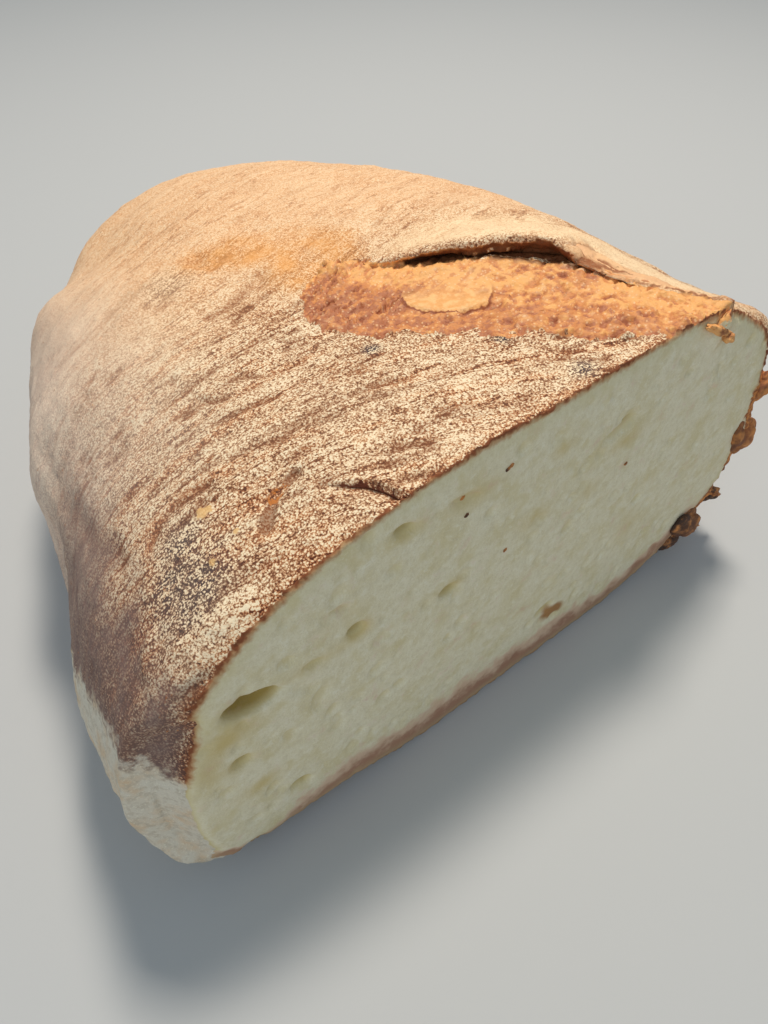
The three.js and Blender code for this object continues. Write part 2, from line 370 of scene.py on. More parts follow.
along, across, slash, crumb, inset = zones(loaf, spots, facing)
plain = (1 - slash) * (1 - crumb) * ease(np.abs(y), 1.2, 3.5)
plain *= 1 - ease(across, -0.12, -0.04) * fall(across, 1.15, 1.5) * (z > TOP_HEIGHT)
plain *= ease(z, 0.1, 1.5)
spots = relax(loaf, plain, FACET_PASSES)
x, y, z = spots.T
by_crack = fall(beside(spots, CRACK, 6), 2.5, 4.5) * (y > 0.5)
spots = relax(loaf, by_crack, CRACK_PASSES)
x, y, z = spots.T

# The slash's floor and the crack are divided finer, for strings, blisters and sharp edges.
finer = np.maximum(slash, beside(spots, CRACK, 6) < 5)
finer = np.maximum(finer, (across > 0.9) & (across < 1.2) & (along < 0.97) & (z > TOP_HEIGHT))
finer = np.maximum(finer, (np.abs(y) < 1.7) & (np.abs(inset) < 2.4))
fine_faces = np.zeros(len(loaf.data.polygons), bool)
for i, face in enumerate(loaf.data.polygons):
    fine_faces[i] = finer[list(face.vertices)].max() > 0.2
bpy.ops.object.mode_set(mode="EDIT")
bpy.ops.mesh.select_mode(type="FACE")
bpy.ops.mesh.select_all(action="DESELECT")
bpy.ops.object.mode_set(mode="OBJECT")
loaf.data.polygons.foreach_set("select", fine_faces)
bpy.ops.object.mode_set(mode="EDIT")
bpy.ops.mesh.subdivide(number_cuts=1)
bpy.ops.object.mode_set(mode="OBJECT")

# The crust's relief. Rising dough left wrinkles that run round the loaf and a few deeper creases, and the
# slash's floor tore open into strings and small blisters.
STREAK_WIDTH = 4.6
STREAK_LENGTH = 34.0
STREAK_HEIGHT = 0.3
FAN_SLOPE = 0.21
FAN_CHANGE = 0.0115
FAN_MIDDLE = 30
WRINKLE_DEPTH = 0.42
SWELL_HEIGHT = 0.45
GRIT_HEIGHT = 0.13
CRACK_DEPTH = 1.0
CRACK_LIP = 0.6
NICK_DEPTH = 0.9
RIDGE_HEIGHT = 0.7
CLUMP_HEIGHT = 0.6
NICK = ((-40.7, 17, 80.3), (-43.2, 16.6, 79.7), (-45.9, 15.5, 78.9), (-47.9, 13.6, 78.3), (-49.6, 11.6, 77.8))
CREASES = (
    (((-10, 76.1, 78.7), (-15.9, 73.5, 78.3), (-21.5, 71.1, 77.9), (-27.1, 70.2, 77.4)), 1.3, 0.8),
    (((-38.6, 42.8, 78.5), (-40.6, 44.5, 77.7), (-42, 47.4, 76.9)), 0.7, 0.5),
    (((-65.8, 77.3, 55.7), (-67.7, 62.5, 55.2), (-68.2, 53.3, 57.3), (-68.7, 41, 61.5), (-67.6, 31.3, 65.5)),
     3.2, 0.6),
    (((-43.4, 38.7, 77.6), (-37.7, 36.6, 79.5), (-32.4, 35.1, 80.7)), 0.8, 0.35),
    (((-63, 26.6, 70.3), (-60.4, 28.2, 71.9), (-57.6, 28.7, 73.4), (-51.4, 26.9, 76.5)), 0.9, 0.45),
    (((-45.8, 28.6, 78.3), (-41.6, 26.9, 79.6), (-37.7, 25.4, 80.6)), 0.7, 0.35),
    (((-35.9, 26.1, 80.9), (-31.6, 24.6, 81.7), (-27.2, 22.9, 82.3)), 0.8, 0.35),
)
RIDGE = ((-70.4, 12.8, 65.9), (-72, 11.6, 64.7), (-73.5, 10.1, 63.3))
CLUMPS = (
    ((-55, 23, 75.3), 0.75), ((-53.6, 22.2, 75.9), 0.5),
    ((-52.8, 14.9, 76.5), 0.5), ((-58.2, 13.5, 74.1), 0.5),
)
SIDE_LUMPS = (((-69, 83, 45), 9.0, 1.6), ((-70.5, 68, 38), 7.0, -1.2), ((-80, 40, 30), 24.0, 1.4))
CRACK_BEYOND = np.array([0.84, 0.54])
CRACK_FAR = 9.0
CRACK_MIDDLE = -36
CRACK_HALF = 16
CRACK_BACK = 26
FLAP = ((45.5, 2.1, 80.5), (46.8, 0.4, 77.8), (48.4, -1.5, 74.5))
FLAP_PRESS = 0.95


def flow_places(where):
    """Places stretched so that noise on them runs in streaks that fan out from the slash."""
    x, y, z = where.T
    fan = FAN_SLOPE - FAN_CHANGE * (y - FAN_MIDDLE)
    across_streak = y + np.clip(x, -70, 60) * np.clip(fan, -0.35, 0.5)
    return np.column_stack([x / STREAK_LENGTH, across_streak / STREAK_WIDTH, z / STREAK_LENGTH])


def wrinkles(where):
    """Thin broken lines that follow the streaks, 1 in their middle."""
    field = lumps(flow_places(where) + 0.22 * lumps(where, 9, 2, 1.3)[:, None], 1, 2, 5.5)
    broken = ease(lumps(where, 8, 2, 17), -0.25, 0.35) * (0.3 + 0.7 * ease(where[:, 2], 52, 72))
    return ease(0.15 - np.abs(field), 0, 0.14) * broken


def crack_places(where):
    """How far beyond the crack each place lies, and the share by which it gapes there."""
    line = through(CRACK, LINE_STEPS)[:, :2]
    net = net_of(line)
    beyond = np.full(len(where), CRACK_FAR)
    gape = np.zeros(len(where))
    x, y, z = where.T
    near = (np.abs(x - CRACK_MIDDLE) < CRACK_HALF) & (y < CRACK_BACK) & (z > LIP_HEIGHT)
    for i in np.nonzero(near)[0]:
        _, index, distance = net.find((where[i, 0], where[i, 1], 0.0))
        beyond[i] = (where[i, :2] - line[index]) @ CRACK_BEYOND
        if index > 0:
            gape[i] = fall(distance, 4, 7) * ease(index / (LINE_STEPS - 1), -0.15, 0.7)
    return beyond, gape


# The slash's floor comes up close under the ear, and touches it at both ends. The tables say how far it lies
# below the ear's lip and how far the ear arches back over it, by share along the slash.
CLEARANCE = (
    (0.0, 0.1), (0.4, 0.1), (0.43, 0.5), (0.46, 0.8), (0.52, 0.5), (0.57, 0.2),
    (0.6, 0.3), (0.64, 0.9), (0.68, 1.1), (0.71, 0.8), (0.76, 0.4), (1.0, 0.3),
)
EAR_ARCH = (
    (0.0, 0.0), (0.39, 0.0), (0.44, 1.9), (0.48, 1.9), (0.571, 1.2),
    (0.64, 0.9), (0.7, 0.25), (0.75, 0.0), (1.0, 0.0),
)
EAR_BACK = np.array([0.616, 0.788, 1.0])
HIGHEST_RISE = 6
spots = places(loaf)
x, y, z = spots.T
facing = normals(loaf)
along, across, slash, crumb, inset = zones(loaf, spots, facing)
lip_over = np.interp(along, LIP_STEPS, lip_heights)
clearance = np.interp(along, *zip(*CLEARANCE))
floor_side = slash * (facing[:, 2] > 0.1) * ease(across, 0.45, 0.95) * fall(across, 1.3, 1.45)
rise_by = np.clip((lip_over - clearance - z) * floor_side, 0, HIGHEST_RISE)
ceiling = surface(loaf)
for i in np.nonzero((rise_by > 0.05) & (across > 0.9))[0]:
    gap = gap_above(ceiling, spots[i], GAP_LEFT)
    if gap is not None:
        rise_by[i] = min(rise_by[i], max(0.0, gap / MM))
z += rise_by
put(loaf, spots)
in_ear = ease(across, 0.9, 0.97) * fall(across, 1.08, 1.75) * (z > TOP_HEIGHT)
above_floor = z - lip_over + 0.5 * clearance
in_ear *= np.maximum(ease(above_floor, -0.2, 0.2), across > 1.3)
spots += (in_ear * np.interp(along, *zip(*EAR_ARCH)))[:, None] * EAR_BACK
put(loaf, spots)
facing = normals(loaf)
crust = (1 - slash) * (1 - crumb)
above = ease(z, 0.2, 5)
streak = lumps(flow_places(spots), 1, 2, 25)
lift = crust * above * (STREAK_HEIGHT * streak - WRINKLE_DEPTH * wrinkles(spots))
lift += crust * above * (SWELL_HEIGHT * lumps(spots, 13, 2, 9.1) + GRIT_HEIGHT * lumps(spots, 1.8, 2, 2.2))
for line, width, depth in CREASES:
    lift -= crust * depth * bell(beside(spots, line, 4 * width), width)
crack_beyond, crack_open = crack_places(spots)
lift -= crust * crack_open * CRACK_DEPTH * bell(np.minimum(crack_beyond, 0), 1.9) * (crack_beyond < 0)
lift += crust * crack_open * CRACK_LIP * bell(crack_beyond, 2.2) * (crack_beyond >= 0)
lift -= crust * NICK_DEPTH * bell(beside(spots, NICK, 6), 1)
lift += crust * RIDGE_HEIGHT * bell(beside(spots, RIDGE, 5), 1.2)
for place, reach, height in SIDE_LUMPS:
    lift += crust * height * bell(span(spots - place), reach)
for place, reach in CLUMPS:
    lift += crust * CLUMP_HEIGHT * reach * bell(span(spots - place), reach)


def torn_strings(where, along, across):
    """The slash floor's strings, -1 in their gaps: across its left end, along the rest."""
    run = np.stack([along * SLASH_LENGTH, across * SLASH_WIDTH, where[:, 2]], 1)
    run += 1.2 * lumps(where, 4, 2, 4.4)[:, None]
    left_end = ease(along, 0.48, 0.62)
    pulled_across = 1 - 2 * np.abs(lumps(run / (1.5, 8, 5), 1, 2, 8.8))
    pulled_along = 1 - 2 * np.abs(lumps(run / (4, 2, 5), 1, 2, 3.8))
    return left_end * pulled_across + (1 - left_end) * pulled_along


def torn_front(where, along, across):
    """The share of the ear's torn front, bare of flour, and the layers that run along it."""
    run = np.stack([along * SLASH_LENGTH / 14, across * SLASH_WIDTH / 1.1, where[:, 2] / 1.4], 1)
    layers = lumps(run, 1, 2, 52)
    upper = across + 0.06 * lumps(where, 7, 2, 54)
    share = ease(across, 0.9, 0.96) * fall(upper, 1.16, 1.3) * fall(along, 0.4, 0.46)
    return share * ease(along, 0.1, 0.17) * (where[:, 2] > TOP_HEIGHT), layers


strings = torn_strings(spots, along, across)
blister = ease(0.36 - cells(spots, 1.5, 6), 0, 0.22)
rough = 0.6 * lumps(spots, 6.5, 2, 1.9) + (0.62 + 0.26 * ease(along, 0.5, 0.6)) * strings
rough += 0.4 * lumps(spots, 1.3, 2, 5)
rough += 0.5 * blister * ease(lumps(spots, 5, 2, 21), -0.3, 0.2)
clots = fall(along, 0.24, 0.32) * ease(0.7 - across, 0, 0.25)
rough += clots * (1.1 - 2.0 * cells(spots, 3, 16))

EAR_WAY = np.array([-0.6, -0.8])
FLAKE_MIDDLE = np.array([11.9, 40.4])
FLAKE_WAY = np.array([0.788, -0.616])
FLAKE_BACK = np.array([0.616, 0.788])
FLAKE_HALF_LENGTH = 9.0
FLAKE_HALF_WIDTH = 7.4
FLAKE_LIFT = 0.8
PIT_PLACE = (33.9, 11.1)
PIT_DEPTH = 1.3
PIT_WIDTH = 0.9


def on_flake(where):
    """How far from the flake's middle each place lies, 1 at its edge, and how far back."""
    flat = where[:, :2] - FLAKE_MIDDLE
    back = flat @ FLAKE_BACK / FLAKE_HALF_WIDTH
    return np.hypot(flat @ FLAKE_WAY / FLAKE_HALF_LENGTH, back) + 0.1 * lumps(where, 5, 2, 6.1), back


flake_ring, flake_back = on_flake(spots)
flake = slash * ease(1.02 - flake_ring, 0, 0.05)
smooth_floor = ease(across, 0.5, 0.7) * ease(along, 0.4, 0.5) * fall(along, 0.72, 0.8)
rough *= 1 - 0.8 * np.maximum(flake, 0.45 * smooth_floor)
ear_under = slash * ease(-facing[:, 2], 0, 0.4) * (y > 3)
lift += slash * (1 - crumb) * rough * (1 - 0.8 * ear_under)
front, front_layers = torn_front(spots, along, across)
lift += (1 - slash) * front * 0.85 * front_layers
lip_near = ease(across, 0.93, 0.99) * fall(across, 1.03, 1.12) * (z > TOP_HEIGHT)
lip_near *= fall(along, 0.88, 0.96)
in_plan = spots * (1, 1, 0)
tear = lip_near * (lumps(in_plan, 4.5, 2, 31) + 0.4 * lumps(in_plan, 1.5, 1, 33))
lift += FLAKE_LIFT * flake * fall(flake_back, -0.7, 0.7)
lift -= PIT_DEPTH * slash * bell(span(spots[:, :2] - PIT_PLACE), PIT_WIDTH)


def under_side(where):
    """1 towards the underside of the cut and 0 above."""
    flat = where[:, (0, 2)] - CUT_MIDDLE
    return ease(-flat[:, 1] / np.hypot(flat[:, 0], flat[:, 1]), 0.22, 0.36)


# The cut face: a knife's faint waves, fine open crumb and small shallow pores stretched along the cut.
CORNER_DEPTH = 4.8
FOOT_SPREAD = 3.0
PORE_COUNT = 320
PORE_SEED = 41
RIM_DROP = 0.35
draw = np.random.default_rng(PORE_SEED)
face_lift = 0.1 * lumps(spots, 9, 2, 3.7) + 0.06 * lumps(spots, 1.7, 2, 6.6)
dent = np.zeros(len(spots))
on_face = np.nonzero(crumb > 0.5)[0]
face_flat = spots[on_face][:, (0, 2)]
for _ in range(PORE_COUNT):
    middle = np.array([draw.uniform(-76, 76), draw.uniform(4, 80)])
    size = draw.uniform(0.45, 0.9) * draw.uniform(0.8, 1.9) ** 1.3
    stretch = draw.uniform(1.0, 1.6)
    slant = draw.uniform(-0.6, 1.2)
    way = np.array([math.cos(slant), math.sin(slant)])
    off = face_flat - middle
    a = off @ way / (size * stretch)
    b = off @ np.array([-way[1], way[0]]) / size
    depth = draw.uniform(0.2, 0.5) * size
    dent[on_face] = np.maximum(dent[on_face], depth * ease(1.15 - np.hypot(a, b), 0, 0.7))
near_rim = ease(inset, -0.5, 0.6) * fall(inset, 1.5, 4)
face_depth = crumb * (dent + RIM_DROP * near_rim) - crumb * face_lift
heel_edge = (y < 3) * ease(1.6 - np.abs(inset), 0, 1.2) * under_side(spots)
heel_lift = 0.7 + 1.1 * lumps(spots * (1, 0, 0), 5, 3, 62)
z += heel_edge * heel_lift * fall(y, 0.8, 3)
ragged = ease(2.2 - np.abs(inset), 0, 1.6) * (y < 1.6)
y += face_depth + ragged * (0.45 * lumps(spots, 2.4, 2, 4.9) + 0.2 * lumps(spots, 1, 1, 2.9))
spots += facing * lift[:, None]
spots[:, :2] += (tear[:, None] * (1 - crumb[:, None])) * EAR_WAY
y += CORNER_DEPTH * left_corner(spots) * ease(5.5 - inset, 0, 5.5) * fall(y, 1, 10)
spread = ease(-x, 60, 78) * fall(z, 4, 22) * fall(y, 20, 45)
x -= FOOT_SPREAD * spread
by_flap = fall(beside(spots, FLAP, 9), 5, 7) * fall(z, 79.5, 81.5)
y *= 1 - FLAP_PRESS * by_flap * (y < 0)
z[:] = np.maximum(z, 0)
put(loaf, spots)
spots = relax(loaf, by_flap * (y < 1.5), FLAP_PASSES)
x, y, z = spots.T

# The fine mesh is thinned where it shows least: under the base and round the back.
PIECE_TRIANGLES = 194000
THINNED = 0.9
triangles = sum(len(face.vertices) - 2 for face in loaf.data.polygons)
keep_fine = loaf.vertex_groups.new(name="thin out")
worth = ease(z, 2, 20) * (1 - 0.6 * ease(y, 80, 130))
worth = np.maximum(worth * (1 - 0.6 * ease(x, 50, 80)), slash)
worth = np.maximum(worth, (np.abs(y) < 2.2) & (np.abs(inset) < 2.6) & (z > 1))
for i in range(len(spots)):
    keep_fine.add([i], float(1 - THINNED * worth[i]), "REPLACE")
kept = PIECE_TRIANGLES / triangles
modify(loaf, "DECIMATE", ratio=kept, vertex_group=keep_fine.name, vertex_group_factor=1.0)
loaf.vertex_groups.clear()
bpy.ops.object.shade_smooth()
spots = places(loaf)
x, y, z = spots.T
z[:] = np.maximum(z, 0)
put(loaf, spots)

# Where each finish lies on the loaf: shares from 0 to 1, kept on the vertices.
facing = normals(loaf)
along, across, slash, crumb, inset = zones(loaf, spots, facing)
INSET_SCALE = 10
HOLLOW_SCALE = 5
CRACK_SCALE = 8
FLOURED = (
    ((-62, 3, 72), 10, 0.45), ((-11.5, 12.5, 83.8), 18, 0.15), ((-10, 60.5, 80), 9, 0.2),
    ((-62.3, 12.5, 71.5), 10, -0.25),
)
BARE_SIDE = (((-75.5, 14, 58.5), 11, 1), ((-77, 24, 52), 12, 1))
SCORCHED_SIDE = (((-62.5, 13.5, 71), 14, 0.65),)
SCORCHED = (
    ((-11.9, 34.3, 82.4), 3, 0.9), ((8, 20.6, 83.6), 2.4, 0.9), ((11.8, 4, 84.5), 4, 0.8),
    ((-64.6, 14, 70), 8, 0.25), ((-27, 90, 76), 9, 0.35), ((-59.4, 22.9, 73), 6, 0.4),
)
SMEARED = (
    ((-17.7, 92.8, 77.3), 8, 1), ((-9, 88, 78.7), 11, 1), ((1, 80, 80), 14, 1), ((-3, 70, 80), 13, 1),
    ((7.5, 75, 80.7), 9, 1), ((5.7, 66.5, 81.6), 7, 0.8), ((0.4, 72.6, 79.9), 9, 1),
)
BROWNED_FROM = ((0, 44.5), (5, 46), (7, 49), (11, 51), (28, 44), (45, 35), (60, 22))
HEEL_HEIGHT = ((-78, 2.0), (-66, 5.0), (-50, 14.0), (-10, 17.0), (30, 13.0), (62, 12.0))
BROWN_SPOT_AT = (14.7, 16)
BROWN_SPOT_HALVES = (4.2, 2.6)


def patches(table):
    """Round patches on the loaf, each with a middle, a reach and a strength."""
    total = 0
    for middle, reach, share in table:
        total += share * fall(span(spots - middle), 0.25 * reach, reach)
    return total


def off_line(points, reach, depth):
    """How far each place lies from a line that was moved in or out by that depth."""
    return np.sqrt(np.maximum(beside(spots, points, reach) ** 2 - depth**2, 0))


broad = lumps(spots, 22, 3, 12)
middling = lumps(spots, 6, 3, 14)
streak = lumps(flow_places(spots), 1, 2, 25)

left = ease(-x, 20, 68)
back = ease(y + 0.25 * x, 40, 100)
low = fall(z, 35, 64)
flour = 0.58 + 0.12 * broad + 0.16 * middling + 0.16 * streak - 0.04 * left * (1 - back) - 0.3 * low
flour -= 0.35 * fall(y + 0.9 * middling, 0.2, 1.6)
flour -= 0.3 * left * fall(z, 52, 70) * fall(y, 30, 60)
bare_side = patches(BARE_SIDE)
flour += patches(FLOURED) - 0.3 * bare_side
veil = 0.06 + 0.55 * back + 0.58 * left * ease(y, 15, 70) + 0.12 * broad
bake = 0.78 + 0.1 * left - 0.75 * back * (1 - 0.6 * left) + 0.25 * low + 0.25 * broad
# Where the veil turns grey: partly greyer flour, partly a painted sheen of the sky.
grey = left * ease(y + 0.5 * (72 - z), 5, 50)
browned_from = np.interp(y, *zip(*BROWNED_FROM))
pale = ease(-68 - x + 3 * middling, 0, 5) * ease(browned_from - z + 2.5 * middling, -5, 7)
pale *= fall(y, 40, 70)
# The lower left flank: a darker mauve-brown, partly the crust's own colour and partly painted shade.
shaded_flank_brown = ease(-x, 58, 70) * ease(y, 0, 4) * fall(y, 45, 75) * fall(z + 4 * middling, 59, 71)
scorch = patches(SCORCHED_SIDE) * (0.75 + 0.6 * middling) + patches(SCORCHED)
smear = np.clip(patches(SMEARED), 0, 1) * (0.8 + 0.5 * middling)
flour -= 0.22 * smear
veil -= 0.5 * smear
bake -= 0.4 * smear
rim_less = ease(-x, 64, 74) * fall(z, 34, 46)
# Painted shade along the wrinkles and in the creases.
crease_shade = wrinkles(spots) * (1 - 0.75 * back)
for line, width, depth in CREASES:
    line_off = off_line(line, 4 * width, depth)
    crease_shade += min(1, 0.9 / width) * bell(line_off, 0.8 * width) * (0.8 + 0.8 * middling)
base = ease(3.0 - z, 0, 2.5) * ease(-facing[:, 2], 0.2, 0.6)
RUSSET_LINES = (
    (((-48.2, 26.6, 77.8), (-52.6, 28.5, 75.8), (-57.5, 30, 73.2), (-62.3, 27.8, 70.6), (-65.4, 24.1, 68.8),
      (-66.6, 19.4, 68.5), (-66.9, 14.3, 68.7), (-67.1, 11.5, 68.8)), 1.1),
    (((-59.1, 39.3, 70.4), (-61.4, 39, 68.9), (-63.9, 38.6, 67.3)), 0.8),
    (((-53, 20.7, 76.3), (-50.5, 19.4, 77.3), (-47.3, 16.6, 78.5)), 0.8),
    (((-57.7, 16.2, 74.3), (-56.4, 13, 75), (-52.2, 12.2, 76.8)), 1.0),
    (((-74.5, 20.4, 59.9), (-73.1, 16.6, 62.5), (-72.4, 12.9, 64.1), (-72.9, 10.7, 63.9)), 0.7),
)
rust = ease(lumps(flow_places(spots) * 1.6, 1, 2, 45) + 0.4 * middling, 0, 0.6)
rust = 0.15 + 0.75 * rust * (1 - 0.4 * back) + 0.8 * fall(y + 1.5 * middling, 0.6, 2.6)
for line, width in RUSSET_LINES:
    along_line = bell(beside(spots, line, 4 * width), width)
    rust += 1.1 * along_line * (0.8 + 0.6 * middling)
    flour -= 0.16 * along_line

OCHRES = (
    (-66.5, 50.5, 4.5, 3.6, 0.8), (-49.3, 55, 6, 1.8, 0.5), (-43.8, 62.9, 4, 2, 0.5),
    (-16.9, 73.6, 5, 2.4, 0.6), (5.8, 72.4, 3, 1.8, 0.5), (24.8, 63.7, 6, 2, 0.4), (0.7, 57.2, 5, 3, 0.35),
    (17.1, 54.6, 3, 2, 0.35), (36.3, 30.3, 4, 5, 0.35), (-65.1, 28.7, 5, 2, 0.5), (-72.5, 44, 3, 6, 0.5),
    (-20, 52.4, 3, 1.6, 0.7), (-41, 56.5, 2.6, 2.2, 0.8), (-66.6, 40.1, 2.6, 2, 0.7),
    (-30.8, 74.2, 3.2, 1.6, 0.7), (-57, 38, 1, 1, 0.6),
)
ochre = 0
for across_cut, up, wide, tall, share in OCHRES:
    ochre += share * bell(np.hypot((x - across_cut) / wide, (z - up) / tall), 1)
clump = 0
for place, reach in CLUMPS:
    clump += bell(np.maximum(span(spots - place) - CLUMP_HEIGHT * reach, 0), reach)
heel_height = np.interp(x, *zip(*HEEL_HEIGHT))
heel = under_side(spots) * fall(inset + 2.2 * middling, 0.05 * heel_height, heel_height)
front, front_layers = torn_front(spots, along, across)
on_ear = ease(across, 1, 1.15) * fall(across + 0.15 * middling, 1.7, 2.15) * (z > TOP_HEIGHT)
crack_beyond, crack_open = crack_places(spots)
flake_ring, flake_back = on_flake(spots)
nick_bright = bell(off_line(NICK[1:3], 6, NICK_DEPTH), 1)
nick_bright += 0.8 * bell(off_line(RIDGE, 6, RIDGE_HEIGHT), 0.7)
brown_skin = ease(along, 0.52, 0.66) * fall(across, 0.45, 0.75) * fall(along, 0.86, 0.93)
glow = 0.75 * ease(across, 0.55, 0.72) * ease(along, 0.4, 0.5) * fall(along, 0.75, 0.85)
glow += ease(along, 0.84, 0.93) + 0.8 * ease(across, 0.45, 0.7) * fall(along, 0.28, 0.36)
blister = ease(0.36 - cells(spots, 1.5, 6), 0, 0.2) * ease(lumps(spots, 5, 2, 21), -0.3, 0.2)
brown_off = (np.stack([x, z], 1) - BROWN_SPOT_AT) / BROWN_SPOT_HALVES
marks = dict(
    slash=slash, crumb=crumb, heel=heel, flour=flour, veil=veil, bake=bake, grey=grey, pale=pale, shaded_flank_brown=shaded_flank_brown,
    scorch=scorch, smear=smear, crease_shade=crease_shade, nick_bright=nick_bright, base=base, rust=rust, front=front,
    crack=crack_open, blister=blister,
    inset=(inset - 3.3 * left_corner(spots)) / INSET_SCALE + 0.32 * rim_less,
    # How far in from the cut, for the painted shade in the pores.
    hollow=y / HOLLOW_SCALE,
    ochre=1.35 * ochre * (0.8 + 0.5 * middling),
    brown_spot=1.2 * bell(span(brown_off), 1) + 0.3 * middling,
    nick_shade=bell(off_line(NICK, 6, NICK_DEPTH), 0.9),
    # A mauve tint on the lower left side: partly the crust's colour, partly painted cool shade.
    mauve=0.15 + 0.85 * left * fall(z, 60, 80) + bare_side,
    layers=0.5 + 0.8 * front_layers,
    ear=on_ear * ease(along, 0.1, 0.25) * fall(along, 0.66, 0.86),
    clump=clump * (0.8 + 0.6 * middling),
    shard=on_shard(spots[:, (0, 2)]) & (inset < 2.5) & (y < 5),
    crack_off=0.5 + crack_beyond / CRACK_SCALE,
    flake_ring=flake_ring / 2,
    flake_near=ease(0.15 - flake_back, -0.3, 0.6),
    # Where the floor runs in under the ear's lip, for the painted shade there.
    under=np.where(slash > 0.5, ease(across, 0.93, 1), 0),
    skin=brown_skin + 0.5 * ease(-across, -0.5, -0.2) + 0.4 * middling,
    strings=0.5 + 0.5 * torn_strings(spots, along, across),
    glow=glow + 0.25 * middling,
)
for name, share in marks.items():
    mark(loaf, name, share)
flow = loaf.data.attributes.new("flow", "FLOAT_VECTOR", "POINT")
flow.data.foreach_set("vector", flow_places(spots).astype(np.float32).ravel())

# The loaf's finish: flour over browned crust, the slash's bare caramel floor, the white crumb at the cut.
BROWNED = ((0.08, (0.07, 0.03, 0.02)), (0.32, (0.225, 0.115, 0.065)), (0.5, (0.5, 0.31, 0.19)),
           (0.66, (0.77, 0.56, 0.355)), (0.88, (0.96, 0.81, 0.57)))
RUSSET = ((0.08, (0.085, 0.022, 0.01)), (0.32, (0.31, 0.095, 0.034)), (0.5, (0.56, 0.245, 0.105)),
          (0.66, (0.78, 0.49, 0.275)), (0.88, (0.95, 0.78, 0.53)))
GOLDEN = ((0.14, (0.36, 0.11, 0.035)), (0.34, (0.62, 0.26, 0.095)), (0.5, (0.8, 0.44, 0.21)),
          (0.64, (0.9, 0.6, 0.34)), (0.85, (0.96, 0.79, 0.55)))
VEIL_GOLD = (0.86, 0.53, 0.295)
VEIL_GREY_AND_SHEEN = (0.63, 0.525, 0.44)
VEIL_LIGHT = (0.83, 0.7, 0.57)
EAR_FLOUR = (0.96, 0.715, 0.445)
SHADED_FLANK_BROWN = (0.225, 0.142, 0.12)
EAR_TAN = (0.79, 0.5, 0.28)
CREASE_SHADE = (0.23, 0.075, 0.028)
FRONT_BROWN = (0.36, 0.125, 0.048)
FRONT_PEACH = (0.88, 0.52, 0.27)
CLUMP = (0.82, 0.5, 0.21)
MAUVE = (0.975, 0.94, 0.945)
SCORCH = (0.07, 0.06, 0.065)
NICK_ORANGE = (0.56, 0.19, 0.04)
SLASH_SHADE_UNDER_EAR = (0.15, 0.042, 0.016)
CRACK_GAP_SHADE = (0.11, 0.026, 0.01)
CRACK_WIDTH = 0.026
SMEAR = (0.84, 0.39, 0.12)
SLASH_RED = (0.31, 0.085, 0.03)
SLASH_MAUVE = (0.48, 0.17, 0.076)
SLASH_MID = (0.68, 0.265, 0.09)
SLASH_BRIGHT = (0.89, 0.44, 0.15)
SLASH_DOT = (0.93, 0.6, 0.33)
FLAKE = (0.95, 0.55, 0.24)
CRUMB = (0.82, 0.74, 0.53)
CRUMB_WARM = (0.7, 0.59, 0.32)
CRUMB_SHADE = (0.69, 0.6, 0.4)
OCHRE = (0.64, 0.48, 0.18)
BROWN_SPOT = (0.42, 0.21, 0.08)
HEEL = (0.7, 0.48, 0.33)
HEEL_BROWN = (0.4, 0.195, 0.12)
CRUMB_PORE_SHADE = (0.44, 0.31, 0.09)
CRUMB_LIGHT = (0.89, 0.83, 0.66)
SHARD_BROWN = (0.34, 0.115, 0.042)
SHARD_ORANGE = (0.66, 0.26, 0.075)
RIM_TAN = (0.48, 0.215, 0.085)
RIM_BROWN = (0.25, 0.075, 0.028)
PALE_SIDE = (0.69, 0.62, 0.5)
PALE_SHADE = (0.52, 0.44, 0.33)
PALE_TAN = (0.68, 0.46, 0.26)
BASE = (0.23, 0.105, 0.05)


def new_finish(piece, name):
    """Gives the piece a finish: its nodes, its shader and the places on the piece."""
    finish = bpy.data.materials.new(name)
    finish.use_nodes = True
    piece.data.materials.append(finish)
    nodes = finish.node_tree.nodes
    return finish.node_tree, nodes["Principled BSDF"], nodes.new("ShaderNodeTexCoord").outputs["Object"]


def fill(socket, value):
    """Links a socket to another, or sets its value."""
    if isinstance(value, bpy.types.NodeSocket):
        tree.links.new(value, socket)
    else:
        socket.default_value = (*value, 1) if isinstance(value, tuple) else value


def node(kind, output, sockets, **settings):
    """Adds a node with these settings and sockets, and gives one of its outputs."""
    made = tree.nodes.new("ShaderNode" + kind)
    for name, value in settings.items():
        setattr(made, name, value)
    for name, value in sockets.items():
        fill(made.inputs[name], value)
    return made.outputs[output]


def read(name, output="Fac"):
    """A share kept on the vertices."""
    return node("Attribute", output, {}, attribute_name=name)


def reckon(operation, *values):
    """One step of arithmetic."""
    return node("Math", 0, dict(enumerate(values)), operation=operation)


def times(first, second):
    """The product of two values."""
    return reckon("MULTIPLY", first, second)


def times_plus(first, second, third):
    """The product of two values, and a third added."""
    return reckon("MULTIPLY_ADD", first, second, third)


def swing(value, by, onto, middle=0.5):
    """Adds a value, less its middle and times that much, onto another."""
    return times_plus(reckon("SUBTRACT", value, middle), by, onto)


def apart(first, second):
    """How far two values lie apart."""
    return reckon("ABSOLUTE", reckon("SUBTRACT", first, second))


def rise(value, low, high, most=1.0):
    """Rises smoothly from 0 at low to the most at high."""
    sockets = {"Value": value, "From Min": low, "From Max": high, "To Max": most}
    return node("MapRange", "Result", sockets, interpolation_type="SMOOTHSTEP")


def over(share, below, above, blend="MIX"):
    """Lays one colour over another by a share."""
    return node("Mix", 2, {0: share, 6: below, 7: above}, data_type="RGBA", blend_type=blend)


def coats(colour, *layers):
    """Lays coats over a colour in turn, each of them a share and a colour."""
    for share, coat in layers:
        colour = over(share, colour, coat)
    return colour


